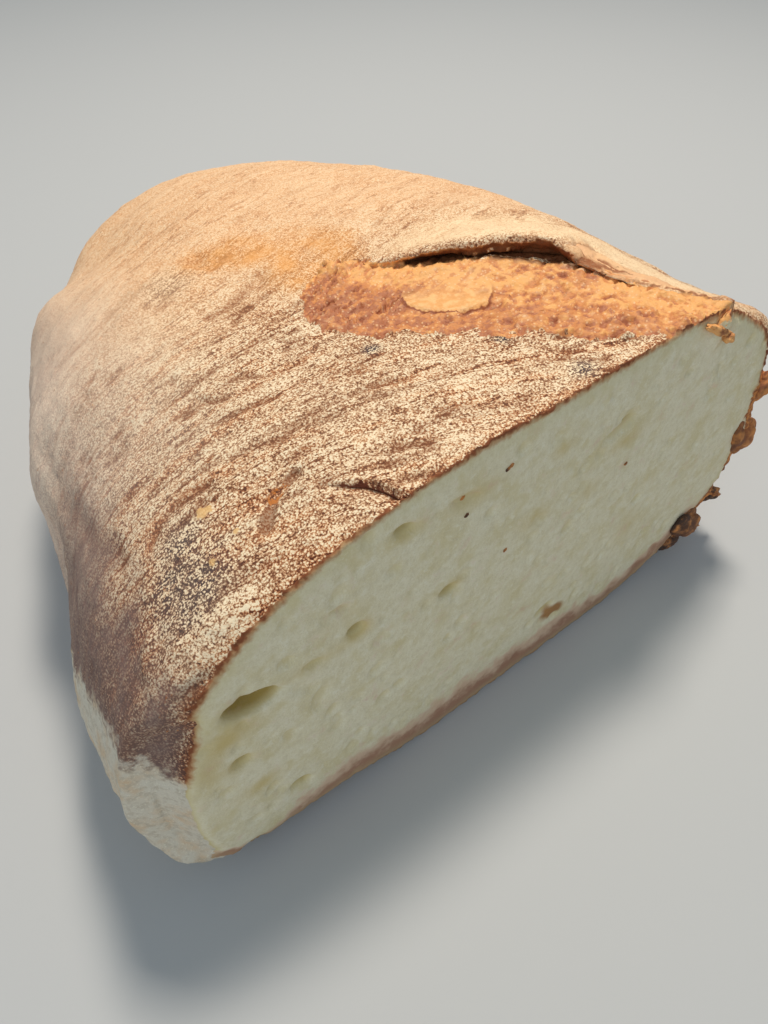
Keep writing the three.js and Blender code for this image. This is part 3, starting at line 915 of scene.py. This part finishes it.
def speckle(size, detail=2.0, where=None, roughness=0.55):
    """Noise from 0 to 1 with lumps of that size in metres."""
    sockets = {"Vector": where or objects, "Scale": 1 / size, "Detail": detail, "Roughness": roughness}
    return node("TexNoise", "Fac", sockets)


def grains(size):
    """Packed grains that many metres wide: each one's brightness and the distance to its middle."""
    made = tree.nodes.new("ShaderNodeTexVoronoi")
    fill(made.inputs["Vector"], objects)
    fill(made.inputs["Scale"], 1 / size)
    return node("SeparateColor", "Red", {"Color": made.outputs["Color"]}), made.outputs["Distance"]


def shades(value, steps):
    """A colour that runs through these steps as the value rises."""
    made = tree.nodes.new("ShaderNodeValToRGB")
    ramp = made.color_ramp
    while len(ramp.elements) < len(steps):
        ramp.elements.new(0.5)
    for element, (place, colour) in zip(ramp.elements, steps):
        element.position = place
        element.color = (*colour, 1)
    tree.links.new(value, made.inputs["Fac"])
    return made.outputs["Color"]


def paint(colour, roughness, height, depth, strength):
    """Gives the shader its colour, its roughness and small relief, that many metres deep."""
    relief = node("Bump", "Normal", {"Height": height, "Distance": depth, "Strength": strength})
    for name, value in (("Base Color", colour), ("Roughness", roughness), ("Normal", relief)):
        fill(shader.inputs[name], value)


tree, shader, objects = new_finish(loaf, "baked bread")
fine = speckle(0.38 * MM, 1.5)
coarse = speckle(1.3 * MM)
mottle = speckle(6 * MM, 3.0)
cloud = speckle(15 * MM)
char = speckle(1.6 * MM, 3.0, None, 0.6)
sponge = speckle(7.0 * MM, 3.0)
web = speckle(1.7 * MM, 3.0, None, 0.6)

flow_way = read("flow", "Vector")
hair = rise(apart(speckle(0.4, 2.0, flow_way), 0.5), 0.05, 0.0)
hair = times(hair, rise(coarse, 0.4, 0.6, 0.4))
long_hair = rise(apart(speckle(0.9, 2.0, flow_way), 0.5), 0.04, 0.0)
hair = reckon("MAXIMUM", hair, times(long_hair, rise(mottle, 0.44, 0.56)))
# Flour grains, lighter in the middle and darker to the edge: bare crust between them, and painted shade.
chance, from_middle = grains(0.36 * MM)
grain = swing(chance, 0.55, 0.645)
grain = times_plus(reckon("SUBTRACT", 0.42, from_middle), 0.7, grain)
grain = swing(fine, 1.5, grain)
grain = swing(coarse, 0.45, grain)
grain = times_plus(hair, -0.4, grain)
grain = swing(mottle, 0.45, grain)
grain = swing(read("flour"), 0.42, grain, 0.52)
# The grain is darker in the wrinkles and creases: painted shade.
grain = times_plus(read("crease_shade"), -0.2, grain)
soft = times(reckon("MAXIMUM", read("ear"), read("veil")), 0.5)
grain = times_plus(reckon("SUBTRACT", 0.68, grain), soft, grain)

# The veil turns grey on the left and back: partly greyer flour, partly a painted sheen of the sky.
veil_grey_and_sheen = over(rise(cloud, 0.4, 0.62), VEIL_GREY_AND_SHEEN, VEIL_LIGHT)
crust_colour = coats(
    shades(grain, GOLDEN),
    (read("bake"), shades(grain, BROWNED)),
    (times_plus(hair, 0.5, read("rust")), shades(grain, RUSSET)),
    (times(read("veil"), 0.8), over(read("grey"), VEIL_GOLD, veil_grey_and_sheen)),
)
# The mauve tint, most on the lower left: partly the crust's colour, partly painted cool shade.
crust_colour = over(read("mauve"), crust_colour, MAUVE, "MULTIPLY")
broken_up = times(reckon("SUBTRACT", coarse, 0.5), 2.2)
# Painted shade in the nick's dent, broken up by noise.
nick_shade = reckon("ADD", broken_up, read("nick_shade"))
nick_bright = reckon("ADD", broken_up, swing(fine, 1.5, read("nick_bright")))
# The crack: a thin painted line of shade in its gap, and painted shade on the near crust beside it.
crack_width = swing(coarse, 0.02, times(read("crack"), CRACK_WIDTH))
crack_line = rise(reckon("SUBTRACT", crack_width, apart(read("crack_off"), 0.485)), 0.0, 0.012)
crack_shade = times(rise(read("crack_off"), 0.36, 0.48), rise(read("crack_off"), 0.51, 0.49))
crack_shade = times(crack_shade, rise(read("crack"), 0.1, 0.9))
ear_colour = over(rise(grain, 0.3, 0.75), EAR_TAN, EAR_FLOUR)
pale_colour = coats(
    PALE_SIDE,
    (rise(mottle, 0.44, 0.72, 0.8), PALE_TAN),
    (rise(coarse, 0.52, 0.36, 0.55), PALE_SHADE),
    (rise(fine, 0.55, 0.72, 0.5), CRUMB_LIGHT),
)
crust_colour = coats(
    crust_colour,
    # The lower left flank: darker crust and painted shade.
    (times(read("shaded_flank_brown"), times_plus(rise(mottle, 0.35, 0.65), 0.3, 0.55)), SHADED_FLANK_BROWN),
    # Painted shade in the wrinkles and creases.
    (times(read("crease_shade"), 0.55), CREASE_SHADE),
    (times(read("ear"), rise(grain, -0.05, 0.35, 0.85)), ear_colour),
    (times(read("smear"), times_plus(rise(mottle, 0.3, 0.7), 0.45, 0.35)), SMEAR),
    (times(read("front"), 0.9), over(rise(read("layers"), 0.3, 0.7), FRONT_BROWN, FRONT_PEACH)),
    (times(read("scorch"), rise(grain, 0.75, 0.45)), SCORCH),
    (rise(swing(coarse, 1.6, read("clump")), 0.4, 0.7, 0.85), CLUMP),
    # Painted shade in the nick.
    (rise(nick_shade, 0.35, 0.7, 0.7), CREASE_SHADE),
    (rise(nick_bright, 0.55, 0.85, 0.9), NICK_ORANGE),
    # Painted shade beside the crack and in its gap.
    (times(crack_shade, 0.75), CREASE_SHADE),
    (times(crack_line, rise(read("crack"), 0.02, 0.2)), CRACK_GAP_SHADE),
    (read("base"), BASE),
    (rise(swing(coarse, 0.9, read("pale")), 0.25, 0.75), pale_colour),
)

# The floor's tone, darker between its strings and lighter on them: painted shade and light over the caramel.
skin = times_plus(char, 1.2, times(read("strings"), 0.8))
skin = times_plus(read("glow"), 0.28, skin)
skin = times_plus(read("skin"), -0.26, skin)
ring = swing(coarse, 0.05, read("flake_ring"))
flake_share = times(rise(ring, 0.51, 0.49), times_plus(read("flake_near"), 0.75, 0.1))
# A thin line of painted shadow just outside the flake's raised near edge.
flake_edge_shadow = times(rise(ring, 0.495, 0.51), rise(ring, 0.56, 0.52))
slash_colour = coats(
    SLASH_RED,
    (rise(skin, 0.66, 0.88), SLASH_MAUVE),
    (rise(skin, 0.94, 1.14), SLASH_MID),
    (rise(skin, 1.16, 1.44), SLASH_BRIGHT),
    (rise(grains(1.0 * MM)[1], 0.3, 0.15, 0.6), SLASH_DOT),
    (times(read("blister"), 0.5), SLASH_DOT),
    (flake_share, over(rise(char, 0.42, 0.62), SLASH_BRIGHT, FLAKE)),
    (times(flake_edge_shadow, read("flake_near")), SLASH_RED),
    # Painted shade on the floor under the ear's lip.
    (times(read("under"), 0.92), SLASH_SHADE_UNDER_EAR),
)

edge = swing(coarse, 0.16, read("inset"))
heel = swing(web, 0.5, swing(mottle, 0.9, read("heel")))
crumb_colour = coats(
    CRUMB,
    (rise(sponge, 0.4, 0.85), CRUMB_WARM),
    # Painted shade and painted glints from noise, for the crumb's small pores and lighter cell walls.
    (rise(web, 0.52, 0.34, 0.5), CRUMB_SHADE),
    (rise(web, 0.52, 0.7, 0.6), CRUMB_LIGHT),
    (rise(fine, 0.46, 0.32, 0.4), CRUMB_SHADE),
    (rise(fine, 0.54, 0.7, 0.45), CRUMB_LIGHT),
    (rise(speckle(4.2 * MM, 3.0), 0.52, 0.72, 0.55), CRUMB_WARM),
    (read("ochre"), OCHRE),
    # Deeper into the cut face the crumb turns warm, then dark: painted shade in the pores' hollows.
    (rise(read("hollow"), 0.04, 0.22), CRUMB_WARM),
    (rise(read("hollow"), 0.14, 0.45), CRUMB_PORE_SHADE),
    (rise(read("brown_spot"), 0.35, 0.9), BROWN_SPOT),
    (rise(heel, 0.05, 0.4, 0.9), HEEL),
    (rise(heel, 0.35, 0.8, 0.9), HEEL_BROWN),
    (rise(edge, 0.6, 0.12, 0.4), CRUMB_WARM),
    (rise(edge, 0.22, 0.08, 0.9), RIM_TAN),
    (rise(edge, 0.12, 0.05), RIM_BROWN),
)

ragged_line = swing(coarse, 0.5, 0.5)
colour = coats(
    crust_colour,
    (rise(reckon("SUBTRACT", read("slash"), ragged_line), -0.12, 0.12), slash_colour),
    (rise(reckon("SUBTRACT", read("crumb"), ragged_line), -0.12, 0.12), crumb_colour),
    (read("shard"), over(rise(coarse, 0.4, 0.6), SHARD_BROWN, SHARD_ORANGE)),
)
roughness = times_plus(read("slash"), -0.3, 0.86)
relief = times_plus(times(web, read("crumb")), 1.2, times_plus(fine, 0.7, coarse))
paint(colour, roughness, relief, 0.3 * MM, times_plus(read("crumb"), -0.25, 0.55))
fill(shader.inputs["Specular IOR Level"], 0.3)
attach(loaf, "root")
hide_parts("half_loaf")

# The torn layers under the ear's right half: thin sheets of crust that pulled apart as the slash opened. Each
# is a ragged strip, thickened, that runs in under the ear and is baked to it and to the floor.
LAYERS = ((0.17, 0.43, 0.25, 0.05, 3.0), (0.165, 0.39, 0.55, 0.09, 5.0), (0.165, 0.31, 0.8, 0.13, 7.0))
LAYER_STEPS = 150
LAYER_ROWS = 12
LAYER_THICKNESS = 0.6 * MM
LAYER_SAMPLES = 80
LAYER_TOP = 1.05
LAYER_BOTTOM = 0.78
RAY_HEIGHT = 0.2
RAY_FRONT = 0.02
roof = surface(loaf)


def join(pieces, name):
    """Makes one piece of several."""
    bpy.ops.object.select_all(action="DESELECT")
    for piece in pieces:
        piece.select_set(True)
    bpy.context.view_layer.objects.active = pieces[0]
    bpy.ops.object.join()
    pieces[0].name = name
    bpy.ops.object.shade_smooth()
    return pieces[0]


def height_at(plan):
    """The loaf's height over each place in plan."""
    heights = []
    for spot in plan:
        start = Vector((spot[0] * MM + foot[0], spot[1] * MM + foot[1], RAY_HEIGHT))
        heights.append(roof.ray_cast(start, -UP)[0].z / MM)
    return smoothed(heights, 5)


def slash_line(along, across):
    """Places in plan at these shares along and across the slash."""
    steps = np.linspace(0, 1, SLASH_STEPS)
    near = np.stack([np.interp(along, steps, side) for side in near_line.T], -1)
    lip = np.stack([np.interp(along, steps, side) for side in lip_line.T], -1)
    across = np.asarray(across)[..., None]
    return near * (1 - across) + lip * across


sheets = []
for start, end, down, reach, seed in LAYERS:
    bpy.ops.mesh.primitive_grid_add(x_subdivisions=LAYER_STEPS, y_subdivisions=LAYER_ROWS, size=2)
    sheet = bpy.context.object
    u, v, _ = (threes(sheet.data.vertices, "co").T + 1) / 2
    steps = np.linspace(start, end, LAYER_SAMPLES)
    share = start + (end - start) * u
    top = np.interp(share, steps, height_at(slash_line(steps, LAYER_TOP)))
    bottom = np.interp(share, steps, height_at(slash_line(steps, LAYER_BOTTOM)))
    edge = np.outer(share * SLASH_LENGTH, np.float32((1, 0, 0)))
    ragged_edge = 0.6 + 0.6 * lumps(edge, 6, 2, seed) + 0.12 * lumps(edge, 1.6, 1, seed)
    taper = np.sqrt(np.maximum(np.sin(np.pi * u), 0))
    out = 1.03 - reach * taper * np.clip(ragged_edge, 0.05, 1.3)
    plan = slash_line(share, out + (1.16 - out) * v)
    height = top - 0.5 - down * np.maximum(top - bottom - 0.5, 0.4) - 0.5 * v
    where = np.column_stack([plan, height])
    where[:, 2] += 0.3 * lumps(where, 3, 2, seed) + 0.5 * (1 - v) ** 4 * lumps(edge, 3.5, 1, seed + 4)
    put(sheet, where)
    mark(sheet, "tuck", v)
    modify(sheet, "SOLIDIFY", thickness=LAYER_THICKNESS)
    sheets.append(sheet)
torn = join(sheets, "torn_layers")

tree, shader, objects = new_finish(torn, "torn crust")
tan = speckle(2.4 * MM, 3.0)
torn_colour = coats(
    SLASH_MAUVE,
    (rise(tan, 0.36, 0.52), SLASH_MID),
    (rise(tan, 0.5, 0.66), SLASH_BRIGHT),
    (rise(read("tuck"), 0.05, 0.3, 0.8), FRONT_PEACH),
)
paint(torn_colour, 0.6, speckle(0.7 * MM), 0.3 * MM, 0.6)
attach(torn, "root")
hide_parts("half_loaf")

# The chips: crust that broke at the cut and hangs on at the right wall, under the base edge and below the
# slash, and dark specks on the crumb. Each is a ball pressed flat and made uneven, set half into the loaf.
CHIPS = (
    ((78.9, 1.0, 37.6), (4.6, 3.4, 6.6), -12, 0.2),
    ((81.6, 1.2, 50.6), (3.0, 2.6, 4.6), 40, 0),
    ((68.0, 0.4, 11.6), (8.4, 2.8, 4.4), 38, 0.6),
    ((63.0, 1.0, 7.0), (4.8, 2.0, 3.0), 30, 0.95),
    ((78.6, 1.4, 15.4), (5.8, 1.6, 1.6), 24, 1),
    ((49.9, -0.9, 78.3), (2.2, 1.4, 1.3), 20, -1.0),
    ((46.6, -0.7, 80.8), (6.0, 1.2, 1.0), 30, -1.0),
)
SPECKS = ((-18.7, 73.9), (-18.2, 70.2), (-9.4, 75.6), (-8.6, 76.0), (27.7, 56.2), (-6.5, 53.0))
SPECK_HALVES = (0.55, 0.3, 0.32)
CHIP_FINENESS = 5
SPECK_FINENESS = 3
SPECK_SUNK = 0.05
SPECK_TILT = -30
SPECK_BURNT = 0.85
CHIP_BURNT = (0.06, 0.03, 0.02)


def cut_at(across_cut, up):
    """How far back the cut face lies at this place."""
    start = Vector((across_cut * MM + foot[0], foot[1] - RAY_FRONT, up * MM))
    return (roof.ray_cast(start, Vector((0, 1, 0)))[0].y - foot[1]) / MM


specks = []
for across_cut, up in SPECKS:
    middle = (across_cut, cut_at(across_cut, up) - SPECK_SUNK, up)
    specks.append((middle, SPECK_HALVES, SPECK_TILT, SPECK_BURNT))
chips = []
for number, (middle, halves, tilt, burnt) in enumerate([*CHIPS, *specks]):
    fineness = SPECK_FINENESS if halves == SPECK_HALVES else CHIP_FINENESS
    bpy.ops.mesh.primitive_ico_sphere_add(subdivisions=fineness, radius=1)
    chip = bpy.context.object
    ball = threes(chip.data.vertices, "co").astype(float)
    size = 1.25 + 0.3 * lumps(ball, 1.2, 1, 3.3 * number) - 0.55 * cells(ball, 0.9, 2.7 * number)
    size = np.clip(size + 0.08 * lumps(ball, 0.3, 2, 5.1 * number), 0.55, 1.35)
    a, b, c = (ball * size[:, None] * halves).T
    cos = math.cos(math.radians(tilt))
    sin = math.sin(math.radians(tilt))
    where = np.column_stack([a * cos + c * sin, b, c * cos - a * sin]) + middle
    where[:, 2] = np.maximum(where[:, 2], 0.0)
    put(chip, where)
    # Burnt crust, more towards each chip's left: partly burnt, partly painted shade on the side away from the
    # key.
    mark(chip, "burnt", burnt - 0.45 * ball[:, 0])
    mark(chip, "bright", np.full(len(where), -burnt))
    chips.append(chip)
broken = join(chips, "crust_chips")

tree, shader, objects = new_finish(broken, "broken crust")
tan = speckle(3.0 * MM, 4.0)
chip_colour = coats(
    SHARD_BROWN,
    (rise(tan, 0.38, 0.62), SHARD_ORANGE),
    (times(read("burnt"), rise(tan, 0.75, 0.45)), CHIP_BURNT),
    (times(read("bright"), rise(tan, 0.3, 0.6)), SLASH_BRIGHT),
)
paint(chip_colour, 0.85, speckle(0.8 * MM, 3.0), 0.35 * MM, 0.7)
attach(broken, "root")
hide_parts("half_loaf")

# The stage: a plain pale floor, a warm key light from above the back right, cool soft light all round.
FLOOR_REACH = 6.0
FLOOR_COLOUR = (0.52, 0.52, 0.52)
bpy.ops.mesh.primitive_plane_add(size=FLOOR_REACH, location=(0, 0, 0))
floor = bpy.context.object
floor.name = "floor"
tree, shader, objects = new_finish(floor, "pale floor")
fill(shader.inputs["Base Color"], FLOOR_COLOUR)
fill(shader.inputs["Roughness"], 0.85)

SKY_COLOUR = (0.76, 0.9, 1.0)
SKY_STRENGTH = 0.32


def area_light(name, way, distance, power, size, colour):
    """A square light that shines on the loaf from that way."""
    way = Vector(way).normalized()
    lamp = bpy.data.lights.new(name, "AREA")
    lamp.energy = power
    lamp.size = size
    lamp.color = colour
    light = bpy.data.objects.new(name, lamp)
    light.location = way * distance
    light.rotation_euler = way.to_track_quat("Z", "Y").to_euler()
    bpy.context.scene.collection.objects.link(light)


area_light("key", way=(0.26, 0.16, 1.0), distance=1.0, power=7.8, size=0.18, colour=(1.0, 0.93, 0.82))
area_light("fill", way=(-0.9, -0.7, 0.8), distance=1.3, power=3.2, size=0.9, colour=(0.84, 0.93, 1.0))

world = bpy.data.worlds.new("soft light")
world.use_nodes = True
sky = world.node_tree.nodes["Background"]
fill(sky.inputs["Color"], SKY_COLOUR)
fill(sky.inputs["Strength"], SKY_STRENGTH)
bpy.context.scene.world = world
bpy.context.scene.view_settings.view_transform = "Standard"

CAMERA_PLACE = (-0.08619, -0.15242, 0.164)
CAMERA_TILT = 44.0
CAMERA_TURN = -38.0
CAMERA_LENS = 27.04
CAMERA_NEAR = 0.01
eye = bpy.data.cameras.new("camera")
eye.lens = CAMERA_LENS
eye.clip_start = CAMERA_NEAR
camera = bpy.data.objects.new("camera", eye)
camera.location = CAMERA_PLACE
camera.rotation_euler = (math.radians(CAMERA_TILT), 0, math.radians(CAMERA_TURN))
bpy.context.scene.collection.objects.link(camera)
bpy.context.scene.camera = camera
